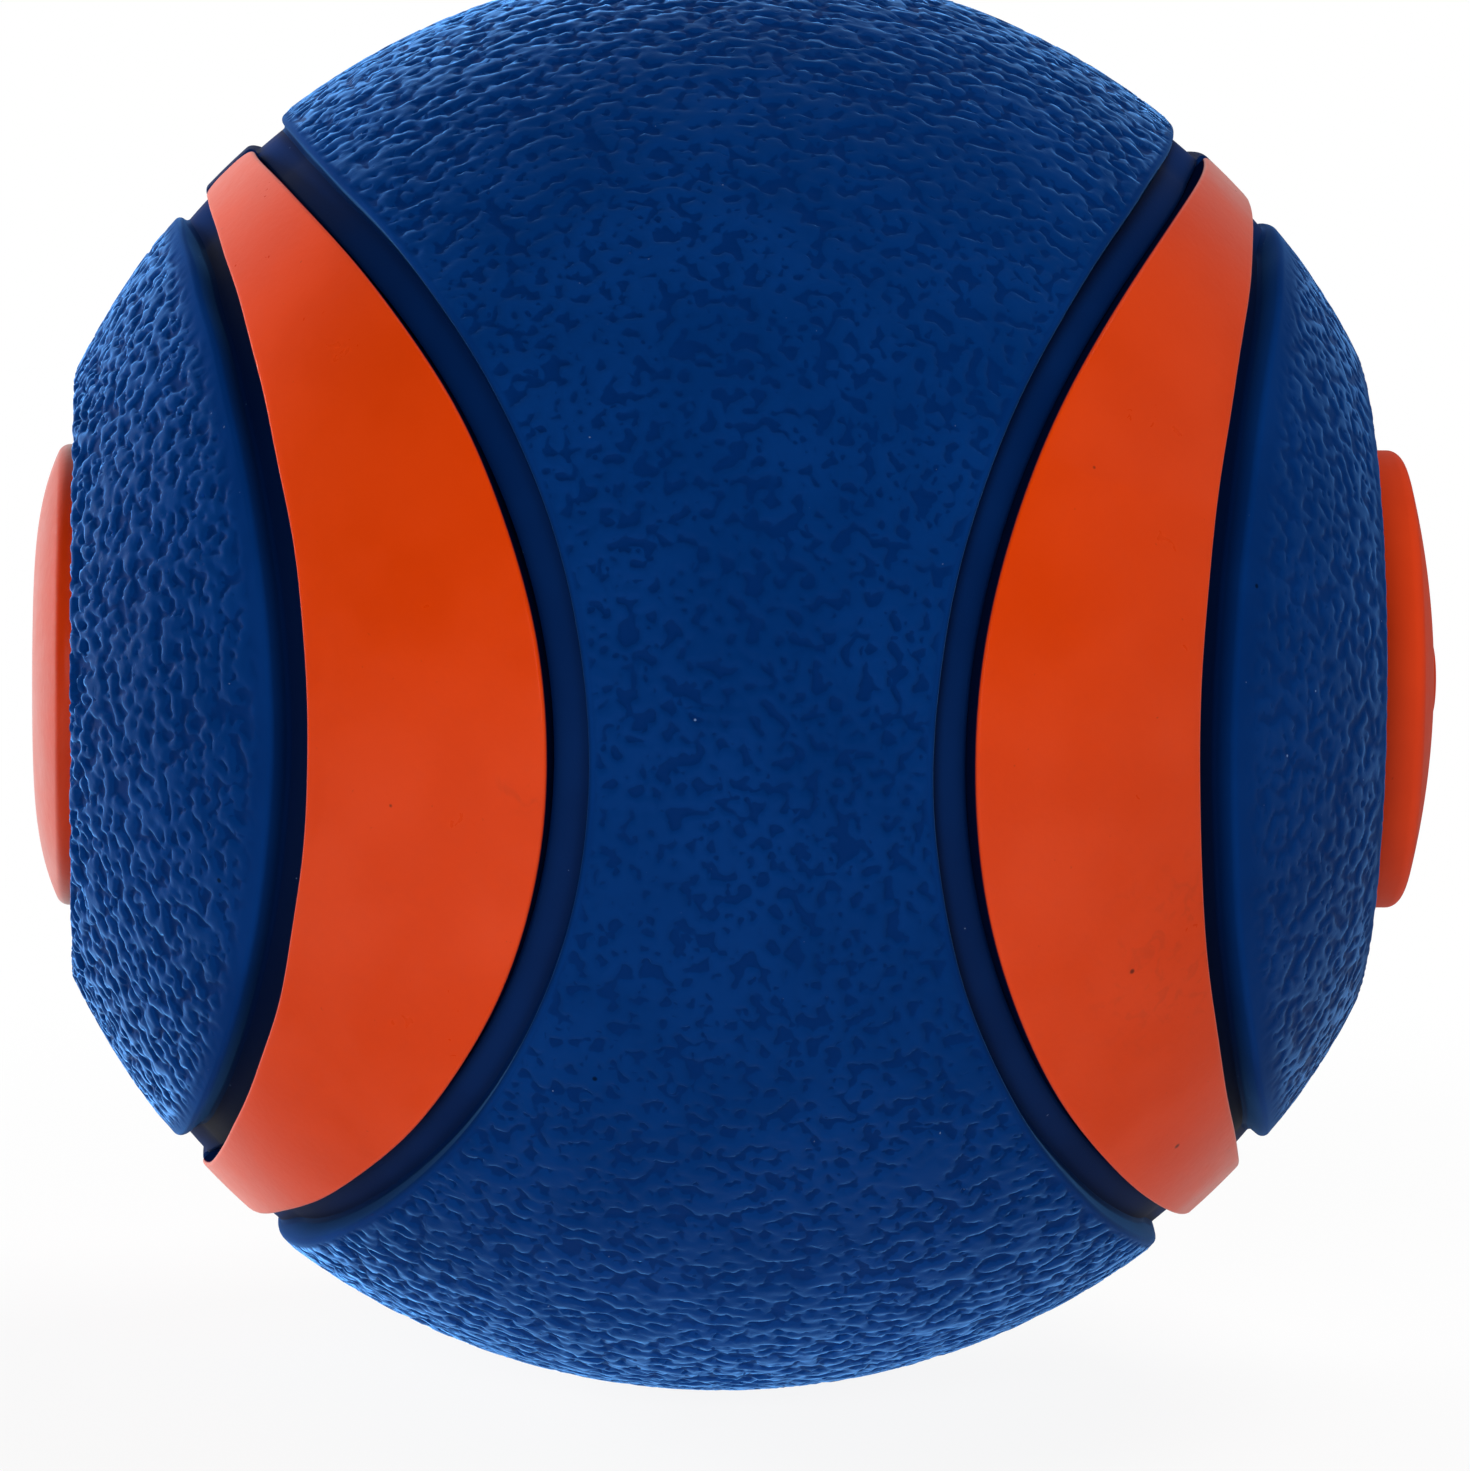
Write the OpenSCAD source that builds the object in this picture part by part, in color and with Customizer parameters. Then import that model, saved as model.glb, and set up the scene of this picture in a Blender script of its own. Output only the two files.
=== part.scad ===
// Hollow rubber fetch ball with a squeaker, inlaid bands and pole caps.
// The poles lie on the X axis, the squeaker sits in the +X pole, and the origin is the ball's centre.

/* [Ball] */
// Diameter of the ball
ball_d = 65; // [58:0.5:80]
// Thickness of the rubber shell
shell_wall = 7; // [5.5:0.5:9]

/* [Bands] */
// Angle from the pole axis to the middle of a band, at the front and the back
band_front_angle = 63.6; // [60:0.2:68]
// Width of a band along the ball, at the front and the back
band_front_w = 11.4; // [8:0.2:13]
// Angle from the pole axis to the middle of a band, at its top and bottom necks
band_neck_angle = 45.6; // [42:0.2:48]
// Width of a band along the ball, at its necks
band_neck_w = 2.9; // [1.5:0.1:5]
// Thickness of a band
band_t = 3; // [2.2:0.1:4]
// Distance from the plane of the necks to the ends of the front bands
bridge_front = 1.2; // [0.6:0.1:3]
// Distance from the plane of the necks to the ends of the back bands
bridge_back = 5.5; // [0.6:0.1:8]

/* [Grooves] */
// Width of the groove on each side of a band, along the ball at the front
groove_w = 1.85; // [1:0.05:2.5]
// Depth of the grooves
groove_depth = 1.2; // [0.5:0.1:1.6]

/* [Poles] */
// Diameter of the flat at the plain left pole
left_flat_d = 27.4; // [24:0.2:30]
// Diameter of the flat at the right pole, which holds the squeaker
right_flat_d = 30.6; // [24:0.2:32]
// Diameter of the pole caps
cap_d = 21; // [19:0.5:22]
// Depth of the recess that a pole cap sits in
cap_seat = 1.8; // [1.2:0.1:2.4]
// Height of the plain left cap above its flat
left_cap_rise = 1.95; // [1.7:0.05:3.5]
// Height of the right cap above its flat
right_cap_rise = 3.8; // [1.9:0.05:4.5]
// Height of the dome on the left cap
left_cap_dome = 1.3; // [0.8:0.1:1.5]
// Height of the dome on the right cap
right_cap_dome = 1.5; // [0.8:0.1:2]
// How flat the left cap's top is, from 2 for an even dome to 6 for a flat with soft shoulders
left_cap_flatness = 4; // [2:0.5:6]
// How flat the right cap's top is, on the same scale
right_cap_flatness = 2; // [2:0.5:6]
// Rounding of a cap's shoulder
cap_round = 0.6; // [0.2:0.1:0.8]
// Diameter of the peg under the left cap
peg_d = 7; // [5:0.5:9]
// Length of the peg under the left cap
peg_l = 3; // [2:0.5:5]
// Rubber left under the peg hole
peg_floor = 1.5; // [1:0.1:3]
// Rubber wall round the peg and round the whistle barrel
boss_wall = 3; // [2:0.5:4]

/* [Whistle] */
// Outer diameter of the barrel
barrel_d = 13; // [12:0.5:14]
// Wall of the barrel
barrel_wall = 1.7; // [1.2:0.1:2]
// Diameter of the flange
flange_d = 17; // [16.5:0.5:18]
// Thickness of the flange
flange_t = 1.2; // [1:0.1:1.6]
// Length of the barrel that the rubber boss grips
socket_l = 8; // [6:0.5:9]
// Height of the barb that locks behind the boss
barb_h = 0.8; // [0.4:0.1:1.2]
// Length of the barb's lead-in cone
barb_l = 1.6; // [1:0.1:2.5]
// Diameter of the sound hole in the flange
sound_hole_d = 2; // [1.5:0.1:2.2]
// Diameter of the air hole in the right cap
air_hole_d = 2; // [1.5:0.1:3]
// Diameter of the hollow under the right cap
plenum_d = 7; // [6:0.5:9]
// Depth of the hollow under the right cap
plenum_depth = 0.8; // [0.5:0.1:1.2]
// Thickness of the screen
screen_t = 1.2; // [0.8:0.1:2]
// Diameter of the screen's holes
screen_hole_d = 1.5; // [1:0.1:1.8]
// Diameter of the circle that the screen's outer holes lie on
screen_circle_d = 5.6; // [5:0.2:6]
// Number of holes on that circle
screen_holes = 6; // [3:1:7]

/* [Reed] */
// Free length of the reed
reed_free = 5.4; // [4:0.2:7]
// Length of the reed's clamped root
reed_clamp = 4; // [3:0.2:5]
// Width of the reed
reed_w = 5; // [4.4:0.2:6]
// Thickness of the reed
reed_t = 0.2; // [0.1:0.05:0.3]
// Angle at which the bed falls away under the reed
bed_relief = 5.7; // [5.5:0.1:8]
// Length of bed beyond the reed's tip
bed_tip = 0.8; // [0.4:0.1:1.5]
// Width of the air channel in the bed
channel_w = 2.8; // [2:0.1:3.4]
// Depth of the air channel in the bed
channel_depth = 2.2; // [2:0.1:2.8]
// Length of bed that seals against the reed's tip
tip_seal = 1; // [0.6:0.1:1.5]
// Free length of barrel between the bed and the screen
air_space = 1.6; // [1:0.1:3]

/* [Fits] */
// Cement line between rubber pieces
bond = 0.05; // [0.02:0.01:0.1]
// Clearance of the hard pieces in the barrel, and of the barrel in its boss
slip = 0.03; // [0.01:0.01:0.06]

/* [Hidden] */

$fn = 160;
// How far a cut runs past the face that it opens
past = 1;
blue = [0.03, 0.18, 0.40];
orange = [0.82, 0.23, 0.05];
ivory = [0.90, 0.88, 0.80];
film = [0.85, 0.87, 0.88];

ball_r = ball_d / 2;
cavity_r = ball_r - shell_wall;

// Half the band's width as an angle at the ball's centre
front_half = band_front_w / ball_d * 180 / PI;
neck_half = band_neck_w / ball_d * 180 / PI;
belt_front = band_front_angle + front_half;
pole_front = band_front_angle - front_half;
belt_neck = band_neck_angle + neck_half;
pole_neck = band_neck_angle - neck_half;

// Radius of the arc, seen along Y, from its apex on the X axis to its end at the neck
function edge_r(front, neck) =
    let (rise = ball_r * sin(neck), run = ball_r * (cos(neck) - cos(front)))
    (run * run + rise * rise) / (2 * run);

belt_edge_r = edge_r(belt_front, belt_neck);
belt_edge_x = ball_r * cos(belt_front) + belt_edge_r;
pole_edge_r = edge_r(pole_front, pole_neck);
pole_edge_x = ball_r * cos(pole_front) + pole_edge_r;
// The groove's width as seen along Y
groove_belt = groove_w * sin(belt_front);
groove_pole = groove_w * sin(pole_front);

// Distance from the ball's centre to a flat of that diameter
function flat_x(flat_d) = sqrt(ball_r * ball_r - flat_d * flat_d / 4);

left_flat_x = flat_x(left_flat_d);
right_flat_x = flat_x(right_flat_d);
left_seat_x = left_flat_x - cap_seat;
right_seat_x = right_flat_x - cap_seat;
// Steps along the curved stretches of a cap's outline
arc_steps = 12;

flange_x = right_seat_x - flange_t;
bore_d = barrel_d - 2 * barrel_wall;
insert_d = bore_d - 2 * slip;
bed_l = reed_clamp + reed_free + bed_tip;
bed_x = flange_x - bed_l;
barrel_l = bed_l + air_space + screen_t;
barrel_x = flange_x - barrel_l;
clamp_x = flange_x - reed_clamp;
tip_x = clamp_x - reed_free;
socket_x = flange_x - socket_l;

// Turns a shape made along Z so that it runs along X from x
module along_x(x) {
    translate([x, 0, 0]) rotate([0, 90, 0]) children();
}

// Solid cylinder across the ball, parallel to Y, through the point x on the X axis
module cross_cylinder(x, r) {
    translate([x, ball_d, 0]) rotate([90, 0, 0]) cylinder(r = r, h = 2 * ball_d);
}

// Closed ring round the +X pole between two spheres, spread by belt and pole beyond the band's edges
module band_ring(outer_r, inner_r, belt, pole) {
    difference() {
        intersection() {
            sphere(outer_r);
            cross_cylinder(belt_edge_x, belt_edge_r + belt);
        }
        sphere(inner_r);
        cross_cylinder(pole_edge_x, pole_edge_r - pole);
    }
}

// The half of space with x above 0, as far as the ball reaches
module right_space() {
    translate([0, -ball_d, -ball_d]) cube([ball_d, 2 * ball_d, 2 * ball_d]);
}

// The space between the ends of the front and back bands, less a gap at either end
module bridge_space(gap) {
    translate([0, gap - bridge_front, -ball_d])
        cube([ball_d, bridge_front + bridge_back - 2 * gap, 2 * ball_d]);
}

// Stands of the shell that part the front and back bands, as high as the bands
module bridge() {
    difference() {
        intersection() {
            cross_cylinder(belt_edge_x, belt_edge_r);
            bridge_space(bond);
        }
        cross_cylinder(pole_edge_x, pole_edge_r);
    }
}

// Half of the shell on the +X side, with its flat at flat_x and a boss inside its pole that ends
// at boss_x, less the children
module half_shell(flat_x, boss_d, boss_x) {
    difference() {
        intersection() {
            sphere(ball_r);
            right_space();
        }
        difference() {
            sphere(cavity_r);
            along_x(boss_x) cylinder(d = boss_d, h = ball_r);
        }
        difference() {
            band_ring(ball_r + past, ball_r - groove_depth, groove_belt, groove_pole);
            bridge();
        }
        difference() {
            band_ring(ball_r + past, ball_r - band_t - bond, bond, bond);
            bridge_space(bond);
        }
        along_x(flat_x) cylinder(d = ball_d, h = ball_r);
        along_x(flat_x - cap_seat) cylinder(d = cap_d + 2 * bond, h = cap_seat + past);
        children();
    }
}

// How far a dome has fallen, x from its middle
function dome_drop(x, dome, flatness) = dome * pow(2 * x / cap_d, flatness);

// Angle at which a cap's round shoulder runs into its dome, found in a number of tries
function shoulder_end(dome, flatness, tries) =
    tries == 0 ? 70 :
    let (
        before = shoulder_end(dome, flatness, tries - 1),
        x = cap_d / 2 - cap_round * (1 - cos(before))
    )
    atan(x / (flatness * dome_drop(x, dome, flatness)));

// Outline of a cap from its seat up: straight side, round shoulder, dome
function cap_outline(rise, dome, flatness) =
    let (
        r = cap_d / 2,
        top = cap_seat + rise,
        meet = shoulder_end(dome, flatness, 4),
        round_x = r - cap_round,
        meet_x = round_x + cap_round * cos(meet),
        round_z = top - dome_drop(meet_x, dome, flatness) - cap_round * sin(meet)
    )
    concat(
        [[0, 0], [r, 0]],
        [for (i = [0 : arc_steps])
            let (a = meet * i / arc_steps)
            [round_x + cap_round * cos(a), round_z + cap_round * sin(a)]],
        [for (i = [1 : arc_steps])
            let (x = meet_x * (1 - i / arc_steps))
            [x, top - dome_drop(x, dome, flatness)]]
    );

module cap_body(seat_x, rise, dome, flatness) {
    along_x(seat_x) rotate_extrude() polygon(cap_outline(rise, dome, flatness));
}

module shell_right() {
    color(blue) half_shell(right_flat_x, barrel_d + 2 * boss_wall, socket_x) {
        along_x(flange_x) cylinder(d = flange_d + 2 * slip, h = flange_t + past);
        along_x(socket_x - past) cylinder(d = barrel_d + 2 * slip, h = socket_l + 2 * past);
    }
}

module shell_left() {
    peg_x = left_seat_x - peg_l;
    color(blue) mirror([1, 0, 0]) half_shell(left_flat_x, peg_d + 2 * boss_wall, peg_x - peg_floor) {
        along_x(peg_x) cylinder(d = peg_d + 2 * bond, h = peg_l + past);
    }
}

// Band on the +X side, in front, that ends so far before the plane of the necks
module band(end) {
    color(orange) difference() {
        band_ring(ball_r, ball_r - band_t, 0, 0);
        translate([0, -end, -ball_d]) cube([ball_d, ball_d, 2 * ball_d]);
    }
}

module band_right_front() {
    band(bridge_front);
}

module band_right_back() {
    mirror([0, 1, 0]) band(bridge_back);
}

module band_left_front() {
    mirror([1, 0, 0]) band(bridge_front);
}

module band_left_back() {
    mirror([1, 0, 0]) mirror([0, 1, 0]) band(bridge_back);
}

module cap_right() {
    color(orange) difference() {
        cap_body(right_seat_x, right_cap_rise, right_cap_dome, right_cap_flatness);
        along_x(right_seat_x - past) cylinder(d = air_hole_d, h = cap_seat + right_cap_rise + 2 * past);
        along_x(right_seat_x - past) cylinder(d = plenum_d, h = plenum_depth + past);
    }
}

module cap_left() {
    color(orange) mirror([1, 0, 0]) union() {
        cap_body(left_seat_x, left_cap_rise, left_cap_dome, left_cap_flatness);
        along_x(left_seat_x - peg_l) cylinder(d = peg_d, h = peg_l);
    }
}

// Cup with a flange at its closed end and a barb that locks behind the rubber boss
module whistle_barrel() {
    color(ivory) difference() {
        union() {
            along_x(flange_x) cylinder(d = flange_d, h = flange_t);
            along_x(barrel_x) cylinder(d = barrel_d, h = barrel_l);
            along_x(socket_x - barb_l) cylinder(d1 = barrel_d, d2 = barrel_d + 2 * barb_h, h = barb_l);
        }
        along_x(barrel_x - past) cylinder(d = bore_d, h = barrel_l + past);
        translate([0, 0, -channel_depth / 2])
            along_x(flange_x - past) cylinder(d = sound_hole_d, h = flange_t + 2 * past);
    }
}

// Half-round block whose flat carries the reed, with the air channel sunk into it
module reed_bed() {
    color(ivory) difference() {
        along_x(bed_x) cylinder(d = insert_d, h = bed_l);
        translate([bed_x - past, -bore_d, 0]) cube([bed_l + 2 * past, 2 * bore_d, bore_d]);
        translate([clamp_x, -bore_d, 0]) rotate([0, -bed_relief, 0])
            translate([-bed_l, 0, 0]) cube([bed_l, 2 * bore_d, bore_d]);
        translate([tip_x + tip_seal, -channel_w / 2, -channel_depth])
            cube([bed_l, channel_w, bore_d]);
    }
}

// Thin tongue with a round tip, lying on the bed
module reed() {
    color(film) linear_extrude(reed_t) union() {
        translate([tip_x + reed_w / 2, 0]) circle(d = reed_w);
        translate([tip_x + reed_w / 2, -reed_w / 2])
            square([reed_free + reed_clamp - reed_w / 2, reed_w]);
    }
}

// Half-round block that presses the root of the reed onto the bed
module reed_wedge() {
    color(ivory) difference() {
        along_x(clamp_x) cylinder(d = insert_d, h = reed_clamp);
        translate([clamp_x - past, -bore_d, reed_t - bore_d])
            cube([reed_clamp + 2 * past, 2 * bore_d, bore_d]);
    }
}

// Perforated disc in the mouth of the barrel
module whistle_screen() {
    color(ivory) along_x(barrel_x) difference() {
        cylinder(d = insert_d, h = screen_t);
        translate([0, 0, -past]) cylinder(d = screen_hole_d, h = screen_t + 2 * past);
        for (i = [0 : screen_holes - 1])
            rotate([0, 0, 360 / screen_holes * i])
                translate([screen_circle_d / 2, 0, -past])
                    cylinder(d = screen_hole_d, h = screen_t + 2 * past);
    }
}

shell_left();
shell_right();
band_left_front();
band_left_back();
band_right_front();
band_right_back();
cap_left();
cap_right();
whistle_barrel();
reed_bed();
reed();
reed_wedge();
whistle_screen();
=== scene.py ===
"""Squeaky dog ball: grained blue rubber shell, orange inlaid bands, pole caps and a whistle."""

import math

import bpy
import numpy as np
from mathutils import Matrix, Vector


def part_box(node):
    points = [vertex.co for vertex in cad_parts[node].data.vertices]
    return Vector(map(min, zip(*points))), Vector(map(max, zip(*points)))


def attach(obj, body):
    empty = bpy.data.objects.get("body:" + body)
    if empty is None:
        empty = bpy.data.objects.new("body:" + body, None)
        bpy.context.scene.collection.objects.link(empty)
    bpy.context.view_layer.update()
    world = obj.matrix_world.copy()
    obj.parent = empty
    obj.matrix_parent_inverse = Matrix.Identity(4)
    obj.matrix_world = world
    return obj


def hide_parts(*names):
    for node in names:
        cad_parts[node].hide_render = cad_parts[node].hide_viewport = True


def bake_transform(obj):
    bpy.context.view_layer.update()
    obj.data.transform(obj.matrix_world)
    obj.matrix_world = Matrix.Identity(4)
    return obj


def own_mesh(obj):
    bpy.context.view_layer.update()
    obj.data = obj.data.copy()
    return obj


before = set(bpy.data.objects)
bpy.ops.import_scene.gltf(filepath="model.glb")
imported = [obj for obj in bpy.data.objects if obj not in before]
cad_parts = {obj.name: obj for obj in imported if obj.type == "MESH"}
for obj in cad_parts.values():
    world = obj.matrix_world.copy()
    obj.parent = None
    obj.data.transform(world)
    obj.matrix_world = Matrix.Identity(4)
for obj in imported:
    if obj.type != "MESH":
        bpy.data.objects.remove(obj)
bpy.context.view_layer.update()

# Units
MM = 0.001
TURN = 2 * math.pi

# Sizes read from the frame, in metres
shell_left_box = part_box("shell_left")
shell_right_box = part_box("shell_right")
cap_right_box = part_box("cap_right")
cap_left_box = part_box("cap_left")
barrel_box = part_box("whistle_barrel")
front_band_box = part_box("band_right_front")
back_band_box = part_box("band_right_back")
reed_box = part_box("reed")
BALL_R = shell_right_box[1].z
FLAT_LEFT_X = -shell_left_box[0].x
FLAT_RIGHT_X = shell_right_box[1].x
SEAT_RIGHT_X = cap_right_box[0].x
SEAT_LEFT_X = FLAT_LEFT_X - (FLAT_RIGHT_X - SEAT_RIGHT_X)
CAP_R = cap_right_box[1].z
CAP_RIGHT_TOP = cap_right_box[1].x
CAP_LEFT_TOP = -cap_left_box[0].x
PEG_X = -cap_left_box[1].x
BRIDGE_FRONT = -front_band_box[1].y
BRIDGE_BACK = back_band_box[0].y
FLANGE_R = barrel_box[1].z

# Sizes that the boxes don't show
SHELL_WALL = 7 * MM
CAVITY_R = BALL_R - SHELL_WALL
BAND_T = 3 * MM
BAND_FRONT_ANGLE = math.radians(63.6)
BAND_FRONT_W = 11.4 * MM
BAND_NECK_ANGLE = math.radians(45.6)
BAND_NECK_W = 2.9 * MM
GROOVE_W = 1.85 * MM
GROOVE_DEPTH = 1.2 * MM
BOND = 0.05 * MM
PEG_R = 3.5 * MM
PEG_FLOOR = 1.5 * MM
BOSS_WALL = 3 * MM
FLANGE_T = 1.2 * MM
BARREL_R = 6.5 * MM
SOCKET_L = 8 * MM
AIR_HOLE_R = 1 * MM
PLENUM_R = 3.5 * MM
PLENUM_DEPTH = 0.8 * MM
CAP_LEFT_DOME = (1.3 * MM, 4)
CAP_RIGHT_DOME = (1.5 * MM, 2)
CAP_ROUND = 0.6 * MM

# Rounded edges
GROOVE_LIP = 0.28 * MM
GROOVE_FOOT = 0.2 * MM
BAND_LIP = 0.18 * MM
BAND_CORNER = 1.42 * MM
BAND_SINK = 0.06 * MM
BRIDGE_LIP = 0.3 * MM
BRIDGE_STEP = BRIDGE_LIP / 20
AIR_RIM_R = 0.45 * MM
AIR_RIM_H = 0.22 * MM

# Uneven trimming along the edges
EDGE_DRIFT = 0.03 * MM
DRIFT_WAVES = range(3, 24)
EDGE_SEEDS = {"left": 11, "right": 31}
BAND_SEED_STEP = 5

# The flat rings sink towards the caps, and the grooves run out towards the bridges
FLAT_SINK = 0.2 * MM
RUN_OUT = 0.7 * MM
RUN_OUT_LENGTH = 5 * MM

# Painted shade that stands in for the grooves' shadow: how far each part's colour goes, from 0 for the
# skin to 1 for the painted shade colour. The floor's edges fade over a share of its width, and near a
# bridge the floor loses a share of its painted shade.
BELT_FLOOR_SHADE = 0.45
EDGE_SHADE = 0.7
EDGE_BLEND = 0.35
POLE_SHADE = 0.92
BRIDGE_SHADE = 0.5
# The bands' rounded lips get painted shade over this share of their drop, and their walls get full
# painted shade.
BAND_WALL_FADE = (0.3, 1.0)
END_LIGHT = 0.85
END_FADE = 7 * MM

# Grain moulded into the blue rubber. The ranges are values of its noise.
GRAIN_CELL = 0.60 * MM
GRAIN_WARP = 0.3
GRAIN_DEPTH = 0.175 * MM
GRAIN_LEVEL = 0.6
WALL_RANGE = (0.34, 0.47)
DOME_RANGE = (0.40, 0.66)
WALL_SHARE = 0.6
PIT_CELL = 0.4 * MM
PIT_RANGE = (0.22, 0.34)

# How deep the grain is: it grows from a zone's edge inwards, each pole has its own share, and the
# rim of a flat adds or takes away a share that fades over a length
BELT_FADE = (0.1 * MM, 0.6 * MM)
POLE_FADE = (0.1 * MM, 2.0 * MM)
POLE_GRAIN = {"left": 1.0, "right": 0.5}
RIM_LEFT = (0.6, 3 * MM)
RIM_RIGHT = (-0.7, 1.5 * MM)

# Mesh density
BELT_COLUMNS = 1200
BELT_ROWS = 60
POLE_COLUMNS = 800
POLE_ROWS = 74
FLAT_ROWS = 22
FLOOR_ROWS = 9
CHANNEL_COLUMNS = 600
BAND_COLUMNS = 240
BAND_ROWS = 30
BRIDGE_ROWS = (0.35, 0.5, 0.65)
CAP_COLUMNS = 192
CAP_ROWS = 40
SHOULDER_STEPS = 10
CAVITY_ROWS = 8
ROUND_STEPS = 6
REED_TIP_STEPS = 12
REED_STEPS = 30
REED_COLUMNS = 9

# Colours as 8-bit screen values, in pairs where a skin wanders between two tones
SHELL_SKIN = ((2, 42, 98), (4, 46, 105))
SHELL_MARGIN = ((2, 40, 96), (4, 45, 104))
# Painted shade colour for the grain's pits
SHELL_PIT_SHADE = (2, 37, 91)
# Painted shade colour for the grooves, standing in for their shadow
SHELL_PAINTED_SHADE = (1, 12, 42)
SHELL_DUST = (120, 140, 175)
SHELL_PALE_SPECK = (100, 126, 172)
SHELL_DARK_SPECK = (1, 18, 48)
BAND_SKIN = ((207, 57, 2), (212, 60, 4))
# The left cap's orange is a darker copy of the band rubber, painted shade that offsets the strong light
# from the left.
CAP_LEFT_SHADED_SKIN = ((182, 46, 6), (187, 49, 8))
CAP_RIGHT_SKIN = ((207, 59, 22), (212, 62, 24))
ORANGE_PORE = (120, 30, 12)
ORANGE_SCUFF = (130, 42, 20)
ORANGE_SPECK = (110, 30, 14)
ORANGE_PAINTED_SHADE = (3, 13, 42)
PLASTIC_SKIN = ((226, 220, 198), (236, 232, 214))
FILM_SKIN = ((206, 212, 216), (222, 226, 228))

# Gloss of the rubber. Sheen tints are linear colours.
SHELL_GLOSS = 0.018
SHELL_SHEEN = 0.92
SHELL_SHEEN_TINT = (0.13, 0.42, 1.0, 1.0)
SHELL_SHEEN_ROUGH = 0.3
PIT_SHEEN = 0.25
PLATEAU_SHEEN = 1.25
MARGIN_ROUGH = 0.62
GRAIN_ROUGH = 0.34
GROOVE_GLOSS = 0.1
ORANGE_SHEEN_TINT = (1.0, 0.9, 0.9, 1.0)
ORANGE_SHEEN_ROUGH = 0.4

# Dust on the shell, and pores and scuffs in the orange rubber. The ranges are values of their noise.
DUST_CELL = 0.25 * MM
DUST_RANGE = (0.815, 0.845)
DUST_SHARE = 0.5
PORE_CELL = 0.35 * MM
PORE_RANGE = (0.74, 0.82)
PORE_SHARE = 0.4
SCUFF_CELL = 0.9 * MM
SCUFF_RANGE = (0.5, 0.68)
SCUFF_SHARE = 0.15

# Stage
FLOOR_HALF = 4.0
FLOOR_GAP = 0.1 * MM
SHADOW_SHARE = 0.1
SHADOW_FADE = (60 * MM, 130 * MM)
UNDER_GLOW = 1.5
UNDER_FADE = (26 * MM, 40 * MM)
GLOSS_BEHIND = (-20 * MM, 30 * MM)
GLOSS_BESIDE = (-100 * MM, 100 * MM)
GLOSS_LOW = 0.5

# Light. Each lamp has its angles to the right of the front and upwards in degrees, its width in
# metres and its power in watts.
WORLD_LEVEL = 0.68
WORLD_TILT = -0.55
LAMP_DISTANCE = 0.6
LAMPS = {
    "lamp_front": (-10, 12, 0.2, 2.32),
    "lamp_left": (-127, 7, 0.2, 4.6),
    "lamp_right": (88, 14, 0.5, 0.65),
    "lamp_top": (110, 70, 0.3, 2.0),
}

# Camera, fitted to the photograph. Its turns are in radians.
PHOTO_W = 1470
PHOTO_H = 1471
SENSOR_MM = 36.0
FOCAL_PX = 9234
BALL_PX = (721.7, 676.6)
CAMERA_DISTANCE = 13 * BALL_R
YAW = 0.0555
PITCH = 0.1175
ROLL = 0.010
CLIP_START = 0.01
CLIP_END = 20

# Marks on the rubber: place in the photograph's pixels, and radius. A mark fades outside its core.
SPECK_CORE = 0.4
DARK_SPECKS = [
    (1095, 467, 0.12 * MM), (1133, 972, 0.18 * MM), (970, 730, 0.10 * MM), (1178, 1147, 0.20 * MM),
    (390, 806, 0.12 * MM), (1257, 586, 0.14 * MM), (595, 1078, 0.15 * MM), (220, 880, 0.15 * MM),
]
PALE_SPECKS = [(1315, 691, 0.06 * MM), (1288, 756, 0.08 * MM), (695, 720, 0.07 * MM)]
SMUDGES = [(520, 790, 1.4 * MM), (1180, 950, 6.0 * MM)]


def collect(name, mesh):
    """A new object with that mesh, in the scene."""
    obj = bpy.data.objects.new(name, mesh)
    bpy.context.scene.collection.objects.link(obj)
    return obj


# Curves on the ball
def edge_circle(front_angle, neck_angle):
    """Centre on X and radius of a band's edge as seen along Y, through its apex and its neck."""
    rise = BALL_R * math.sin(neck_angle)
    run = BALL_R * (math.cos(neck_angle) - math.cos(front_angle))
    radius = (run * run + rise * rise) / (2 * run)
    return BALL_R * math.cos(front_angle) + radius, radius


def edge_polar(phi, circle, spread=0.0):
    """Polar angle from the +X axis at which the edge crosses each meridian phi."""
    centre, radius = circle
    a = (BALL_R * np.cos(phi)) ** 2
    b = 2 * BALL_R * centre
    d = centre**2 + (BALL_R * np.sin(phi)) ** 2 - (radius + spread) ** 2
    return np.arccos(2 * d / (b + np.sqrt(b * b - 4 * a * d)))


FRONT_HALF = BAND_FRONT_W / (2 * BALL_R)
NECK_HALF = BAND_NECK_W / (2 * BALL_R)
BELT_CIRCLE = edge_circle(BAND_FRONT_ANGLE + FRONT_HALF, BAND_NECK_ANGLE + NECK_HALF)
POLE_CIRCLE = edge_circle(BAND_FRONT_ANGLE - FRONT_HALF, BAND_NECK_ANGLE - NECK_HALF)
GROOVE_BELT = GROOVE_W * math.sin(BAND_FRONT_ANGLE + FRONT_HALF)
GROOVE_POLE = GROOVE_W * math.sin(BAND_FRONT_ANGLE - FRONT_HALF)
NECK_R = BALL_R * math.sin(BAND_NECK_ANGLE)
FRONT_TURN = math.asin(BRIDGE_FRONT / NECK_R)
BACK_TURN = math.asin(BRIDGE_BACK / NECK_R)
BRIDGES = [
    (TURN / 4 - BACK_TURN, TURN / 4 + FRONT_TURN),
    (3 * TURN / 4 - FRONT_TURN, 3 * TURN / 4 + BACK_TURN),
]


def drift(phi, seed):
    """Slow uneven drift along an edge, as a trimmed moulding has."""
    random = np.random.default_rng(seed)
    total = np.zeros_like(phi)
    for wave in DRIFT_WAVES:
        phase = random.uniform(0, TURN)
        total += random.normal() / math.sqrt(wave) * np.sin(wave * phi + phase)
    return EDGE_DRIFT / BALL_R * total


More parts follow.
